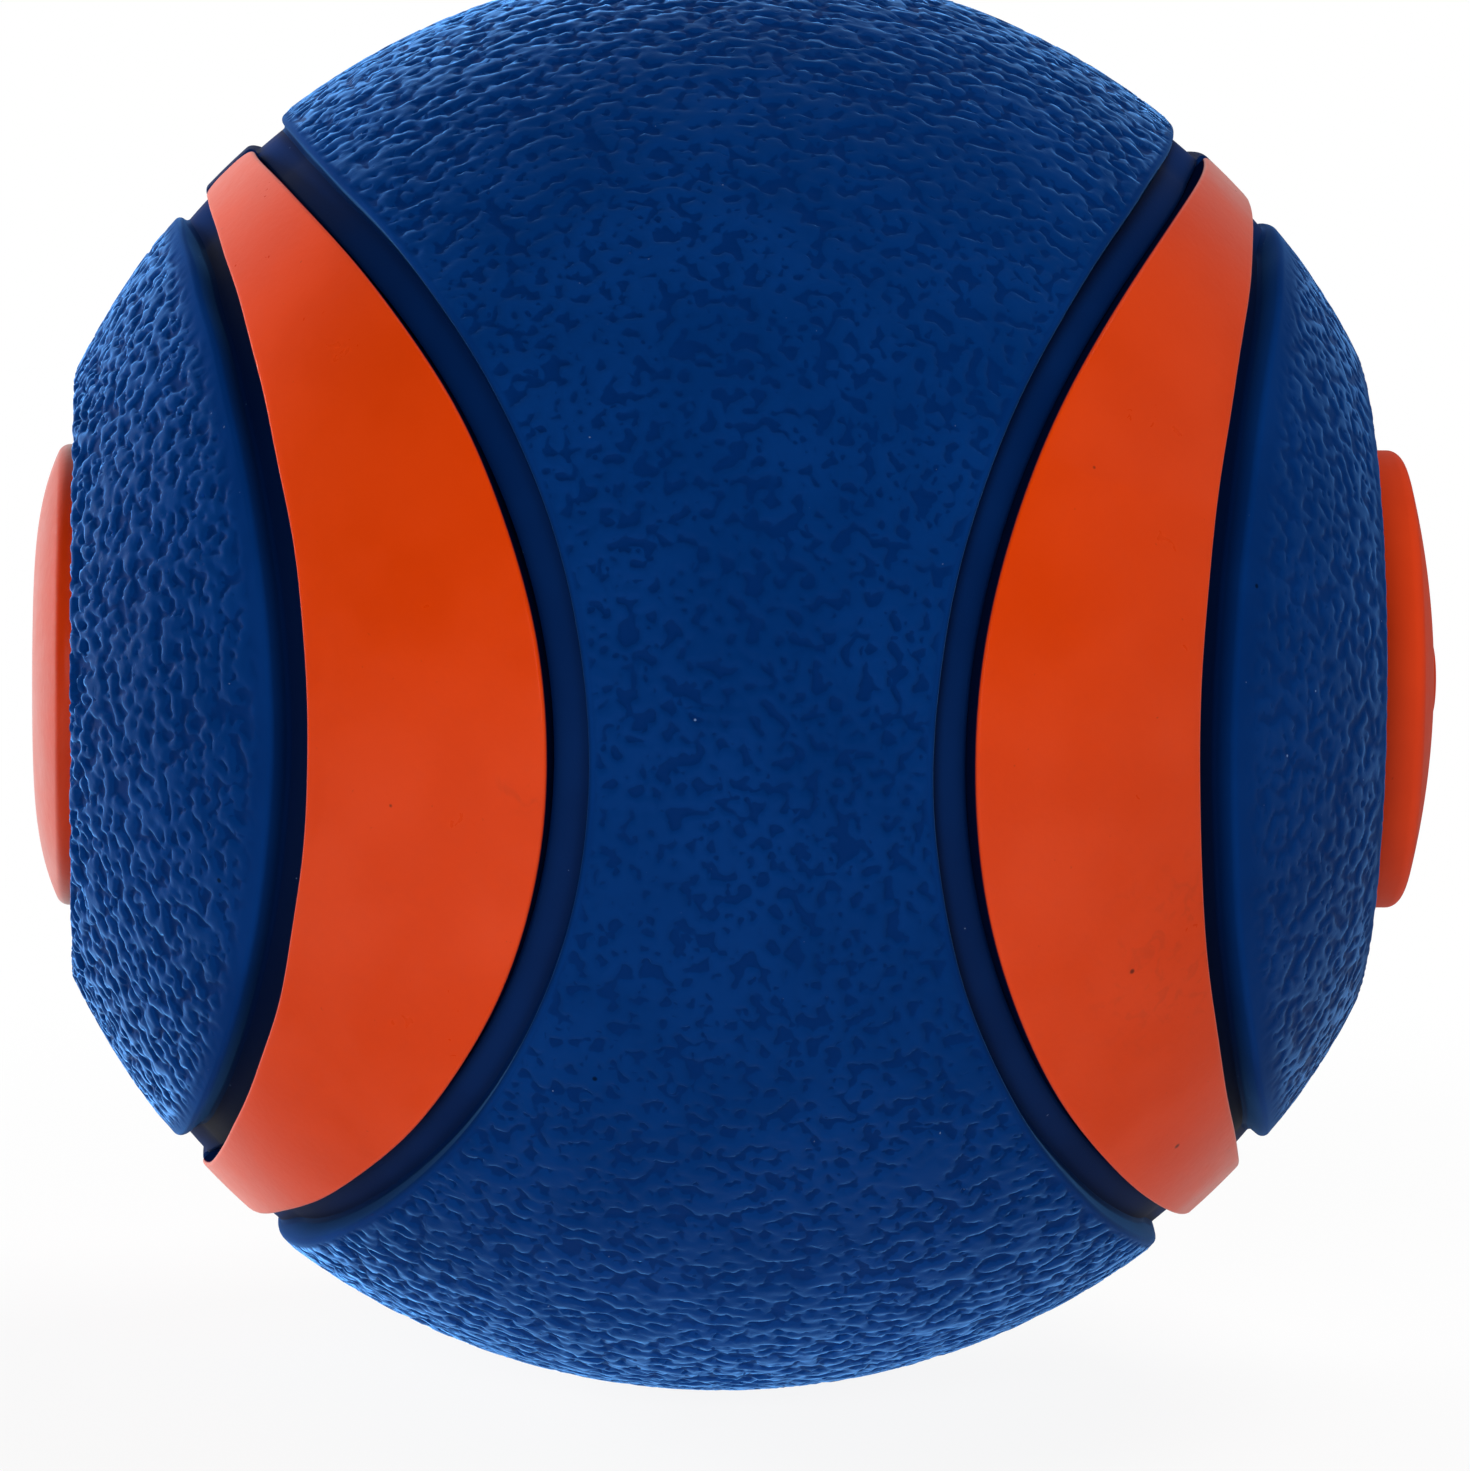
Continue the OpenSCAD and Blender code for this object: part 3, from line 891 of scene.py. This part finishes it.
def shell_material(name, specular, sheen):
    """Blue rubber: grain with painted shade in its pits, smooth margins, painted shade in the grooves,
    faint mottle and dust.
    """
    material, tree, shader = new_material(name)
    place = attribute(tree, "rest").outputs["Vector"]
    share = attribute(tree, "grain_share").outputs["Fac"]
    hollow = attribute(tree, "hollow").outputs["Fac"]
    grain = maths(tree, "MULTIPLY", grain_nodes(tree, place), share)
    mottle = noise(tree, place, 6 * MM, detail=3.0)
    skin = two_tone(tree, mottle, SHELL_SKIN)
    # Painted shade in the grain's pits: the colour darkens as the grain falls.
    pit_shaded = mix_colour(tree, ramp(tree, grain, 0.0, 0.5), srgb(SHELL_PIT_SHADE), skin)
    colour = mix_colour(tree, share, two_tone(tree, mottle, SHELL_MARGIN), pit_shaded)
    # Painted shade in the grooves, standing in for their shadow.
    colour = mix_colour(tree, hollow, colour, srgb(SHELL_PAINTED_SHADE))
    dust = noise(tree, place, DUST_CELL, detail=1.0)
    colour = mix_colour(tree, ramp(tree, dust, *DUST_RANGE, 0.0, DUST_SHARE), colour, srgb(SHELL_DUST))
    colour = mix_colour(tree, marks(tree, place, PALE_SPECKS), colour, srgb(SHELL_PALE_SPECK))
    colour = mix_colour(tree, marks(tree, place, DARK_SPECKS), colour, srgb(SHELL_DARK_SPECK))
    tree.links.new(colour, shader.inputs["Base Color"])

    uneven = ramp(tree, mottle, 0.3, 0.7, 0.0, 0.06)
    rough = maths(tree, "ADD", uneven, ramp(tree, share, 0.0, 0.8, MARGIN_ROUGH, GRAIN_ROUGH))
    tree.links.new(rough, shader.inputs["Roughness"])
    fine = noise(tree, place, 0.12 * MM, detail=2.0)
    relief = bump(tree, grain, 0.015 * MM)
    tree.links.new(bump(tree, fine, 0.006 * MM, relief), shader.inputs["Normal"])
    shader.inputs["Specular IOR Level"].default_value = specular
    film = ramp(tree, grain, 0.1, 0.7, PIT_SHEEN * sheen, PLATEAU_SHEEN * sheen)
    tree.links.new(film, shader.inputs["Sheen Weight"])
    shader.inputs["Sheen Roughness"].default_value = SHELL_SHEEN_ROUGH
    shader.inputs["Sheen Tint"].default_value = SHELL_SHEEN_TINT
    return material


def orange_material(name, tones, specular, sheen, rough):
    """Orange rubber: satin skin between two tones in a slow mottle, with fine pores and scuffs, and
    painted shade where it sits in a groove.
    """
    material, tree, shader = new_material(name)
    place = attribute(tree, "rest").outputs["Vector"]
    hollow = attribute(tree, "hollow").outputs["Fac"]
    mottle = noise(tree, place, 5 * MM, detail=4.0)
    pores = noise(tree, place, PORE_CELL, detail=2.0)
    streaks = noise(tree, place, SCUFF_CELL, detail=3.0, distortion=1.0)
    scuffs = ramp(tree, streaks, *SCUFF_RANGE, 0.0, SCUFF_SHARE)
    scuffs = maths(tree, "MULTIPLY", scuffs, marks(tree, place, SMUDGES))
    colour = two_tone(tree, mottle, tones)
    colour = mix_colour(tree, ramp(tree, pores, *PORE_RANGE, 0.0, PORE_SHARE), colour, srgb(ORANGE_PORE))
    colour = mix_colour(tree, scuffs, colour, srgb(ORANGE_SCUFF))
    colour = mix_colour(tree, marks(tree, place, DARK_SPECKS), colour, srgb(ORANGE_SPECK))
    # Painted shade on the band's walls and lips: a dark navy that stands in for the groove's shadow.
    colour = mix_colour(tree, hollow, colour, srgb(ORANGE_PAINTED_SHADE))
    tree.links.new(colour, shader.inputs["Base Color"])

    uneven = maths(tree, "MULTIPLY", streaks, 0.1)
    satin = maths(tree, "ADD", ramp(tree, mottle, 0.3, 0.7, rough, rough + 0.08), uneven)
    tree.links.new(satin, shader.inputs["Roughness"])
    waves = bump(tree, mottle, 0.03 * MM)
    tree.links.new(bump(tree, pores, 0.008 * MM, waves), shader.inputs["Normal"])
    # Where the painted shade lies, gloss and sheen fade out too.
    tree.links.new(ramp(tree, hollow, 0.0, 0.8, specular, 0.0), shader.inputs["Specular IOR Level"])
    tree.links.new(ramp(tree, hollow, 0.0, 0.8, sheen, 0.0), shader.inputs["Sheen Weight"])
    shader.inputs["Sheen Roughness"].default_value = ORANGE_SHEEN_ROUGH
    shader.inputs["Sheen Tint"].default_value = ORANGE_SHEEN_TINT
    return material


def plastic_material():
    """Ivory moulded plastic with faint flow marks."""
    material, tree, shader = new_material("whistle_plastic_ivory")
    place = tree.nodes.new("ShaderNodeTexCoord").outputs["Object"]
    flow = noise(tree, place, 3 * MM, detail=3.0, distortion=0.6)
    tree.links.new(two_tone(tree, flow, PLASTIC_SKIN, 0.2), shader.inputs["Base Color"])
    tree.links.new(ramp(tree, flow, 0.3, 0.7, 0.3, 0.4), shader.inputs["Roughness"])
    tree.links.new(bump(tree, flow, 0.01 * MM), shader.inputs["Normal"])
    return material


def film_material():
    """Milky plastic film with a fine mottle."""
    material, tree, shader = new_material("reed_film_milky")
    place = attribute(tree, "rest").outputs["Vector"]
    mottle = noise(tree, place, 0.6 * MM, detail=2.0)
    colour = two_tone(tree, mottle, FILM_SKIN, 0.2)
    tree.links.new(colour, shader.inputs["Base Color"])
    tree.links.new(ramp(tree, mottle, 0.3, 0.7, 0.22, 0.32), shader.inputs["Roughness"])
    return material


# Camera
def make_camera():
    """The photograph's camera, with the shift that its framing has."""
    right, up, back = view_axes()
    data = bpy.data.cameras.new("camera")
    data.sensor_width = SENSOR_MM
    data.lens = SENSOR_MM * FOCAL_PX / PHOTO_H
    data.shift_x = (PHOTO_W / 2 - BALL_PX[0]) / PHOTO_H
    data.shift_y = (BALL_PX[1] - PHOTO_H / 2) / PHOTO_H
    data.clip_start = CLIP_START
    data.clip_end = CLIP_END
    camera = bpy.data.objects.new("camera", data)
    bpy.context.scene.collection.objects.link(camera)
    matrix = Matrix((right, up, back)).transposed().to_4x4()
    matrix.translation = back * CAMERA_DISTANCE
    camera.matrix_world = matrix
    bpy.context.scene.camera = camera


# Stage and light
def make_floor():
    """White table that shows plain white to the camera and to gloss, keeps a soft shadow near the
    ball, and gives soft light to the ball's underside."""
    z = -BALL_R - FLOOR_GAP
    corners = [(x * FLOOR_HALF, y * FLOOR_HALF, z) for x, y in ((-1, -1), (1, -1), (1, 1), (-1, 1))]
    mesh = bpy.data.meshes.new("floor")
    mesh.from_pydata(corners, [], [(0, 1, 2, 3)])
    floor = collect("floor", mesh)
    material, tree, shader = new_material("floor_white")
    shader.inputs["Base Color"].default_value = (0.9, 0.9, 0.9, 1)
    shader.inputs["Roughness"].default_value = 0.9
    shader.inputs["Specular IOR Level"].default_value = 0.0

    place = tree.nodes.new("ShaderNodeTexCoord").outputs["Object"]
    axes = new_node(tree, "ShaderNodeSeparateXYZ", [(0, place)])
    level = new_node(tree, "ShaderNodeVectorMath", [(0, place)], operation="MULTIPLY")
    level.inputs[1].default_value = (1, 1, 0)
    length = new_node(tree, "ShaderNodeVectorMath", [(0, level.outputs[0])], operation="LENGTH")
    distance = length.outputs["Value"]
    plain = ramp(tree, distance, *SHADOW_FADE, 1 - SHADOW_SHARE, 1.0)
    near = ramp(tree, distance, *UNDER_FADE, 1.0, 0.0)
    behind = ramp(tree, axes.outputs["Y"], *GLOSS_BEHIND)
    beside = ramp(tree, axes.outputs["X"], *GLOSS_BESIDE, 1.0, GLOSS_LOW)

    path = tree.nodes.new("ShaderNodeLightPath")
    seen = maths(tree, "MAXIMUM", path.outputs["Is Camera Ray"], path.outputs["Is Transmission Ray"])
    gloss = path.outputs["Is Glossy Ray"]
    under = maths(tree, "MULTIPLY", path.outputs["Is Diffuse Ray"], near)
    strength = maths(tree, "MULTIPLY", gloss, maths(tree, "MULTIPLY", behind, beside))
    strength = maths(tree, "MAXIMUM", strength, maths(tree, "MULTIPLY", under, UNDER_GLOW))
    strength = maths(tree, "MAXIMUM", seen, strength)
    glow = new_node(tree, "ShaderNodeEmission", [("Strength", strength)])
    share = maths(tree, "MAXIMUM", maths(tree, "MULTIPLY", seen, plain), gloss)
    share = maths(tree, "MAXIMUM", share, under)
    mixed = new_node(
        tree, "ShaderNodeMixShader", [(0, share), (1, shader.outputs[0]), (2, glow.outputs[0])]
    )
    tree.links.new(mixed.outputs[0], tree.nodes["Material Output"].inputs["Surface"])
    floor.data.materials.append(material)


def make_world():
    """White surroundings behind the ball that fade to dark on the camera's side."""
    world = bpy.data.worlds.new("studio")
    bpy.context.scene.world = world
    world.use_nodes = True
    tree = world.node_tree
    ground = tree.nodes["Background"]
    way = tree.nodes.new("ShaderNodeTexCoord").outputs["Generated"]
    toward = new_node(tree, "ShaderNodeSeparateXYZ", [(0, way)])
    behind = maths(tree, "POWER", maths(tree, "MAXIMUM", toward.outputs["Y"], 0.0), 2.0)
    beside = maths(tree, "ADD", maths(tree, "MULTIPLY", toward.outputs["X"], WORLD_TILT), WORLD_LEVEL)
    level = maths(tree, "MULTIPLY", behind, beside)
    path = tree.nodes.new("ShaderNodeLightPath")
    strength = maths(tree, "MAXIMUM", level, path.outputs["Is Camera Ray"])
    tree.links.new(strength, ground.inputs["Strength"])
    ground.inputs["Color"].default_value = (1, 1, 1, 1)


def make_lamp(name, side, height, size, power):
    """Square soft light aimed at the ball, which gloss and the camera don't see."""
    side = math.radians(side)
    height = math.radians(height)
    level = math.cos(height)
    back = Vector((math.sin(side) * level, -math.cos(side) * level, math.sin(height)))
    data = bpy.data.lights.new(name, "AREA")
    data.size = size
    data.energy = power
    lamp = bpy.data.objects.new(name, data)
    bpy.context.scene.collection.objects.link(lamp)
    lamp.location = back * LAMP_DISTANCE
    lamp.rotation_euler = back.to_track_quat("Z", "Y").to_euler()
    lamp.visible_glossy = False
    lamp.visible_camera = False


def make_light():
    """The world's light and the lamps."""
    make_world()
    for name, values in LAMPS.items():
        make_lamp(name, *values)


# Pieces
def place_piece(name, mesh, material, nodes, body, soft=True):
    """Dresses a piece, puts it on its body, and gives soft rubber its own copy of the mesh."""
    piece = collect(name, mesh)
    piece.data.materials.append(material)
    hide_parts(*nodes)
    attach(piece, body)
    if soft:
        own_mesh(piece)
    return piece


blue = shell_material("shell_rubber_blue", SHELL_GLOSS, SHELL_SHEEN)
blue_groove = shell_material("shell_rubber_groove", GROOVE_GLOSS, sheen=0.0)
orange = orange_material("band_rubber_orange", BAND_SKIN, specular=0.45, sheen=0.09, rough=0.24)
# A darker copy of the orange for the left cap: painted shade against the strong left light.
cap_shaded_orange = orange_material("cap_rubber_orange_shaded", CAP_LEFT_SHADED_SKIN, specular=0.5, sheen=0.10, rough=0.24)
vent_orange = orange_material("cap_rubber_vent", CAP_RIGHT_SKIN, specular=0.1, sheen=0.0, rough=0.5)
ivory = plastic_material()
milky = film_material()

belts = {}
for side, seed in EDGE_SEEDS.items():
    rings = belt_rings(seed)
    belts[side] = (rings, *rings.shaped(side == "left"))
for side, seed in EDGE_SEEDS.items():
    left = side == "left"
    node = f"shell_{side}"
    body = f"{side}_half"
    rings, rest, moved, share, hollow = belts[side]
    mesh = grid_mesh(f"{node}_belt", rest, moved, share, hollow, sharp=rings.sharp)
    seam_normals(mesh, moved, belts["right" if left else "left"][2])
    place_piece(f"{node}_belt", mesh, blue, [node], body)

    rings = channel_rings(seed)
    mesh = grid_mesh(f"{node}_groove", *rings.shaped(left), sharp=rings.sharp)
    place_piece(f"{node}_groove", mesh, blue_groove, [node], body)

    rings, tips = pole_rings(seed, left)
    mesh = grid_mesh(
        f"{node}_pole", *rings.shaped(left), loop_rows=not tips, sharp=rings.sharp, tips=tips
    )
    place_piece(f"{node}_pole", mesh, blue, [node], body)

    for end, back in (("front", False), ("back", True)):
        node = f"band_{side}_{end}"
        mesh = band_mesh(f"{node}_rubber", left, back, seed + BAND_SEED_STEP + back)
        place_piece(f"{node}_rubber", mesh, orange, [node], body)

caps = {"left": (cap_left_mesh(), cap_shaded_orange), "right": (cap_right_mesh(), vent_orange)}
for side, (mesh, rubber) in caps.items():
    node = f"cap_{side}"
    place_piece(f"{node}_rubber", mesh, rubber, [node], f"{side}_half", soft=False)

reed = collect("reed_film", reed_mesh())
reed.data.materials.append(milky)
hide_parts("reed")
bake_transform(reed)

for name in ("whistle_barrel", "reed_bed", "reed_wedge", "whistle_screen"):
    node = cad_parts[name]
    node.data.materials.clear()
    node.data.materials.append(ivory)

make_camera()
make_floor()
make_light()
bpy.context.scene.view_settings.view_transform = "Standard"
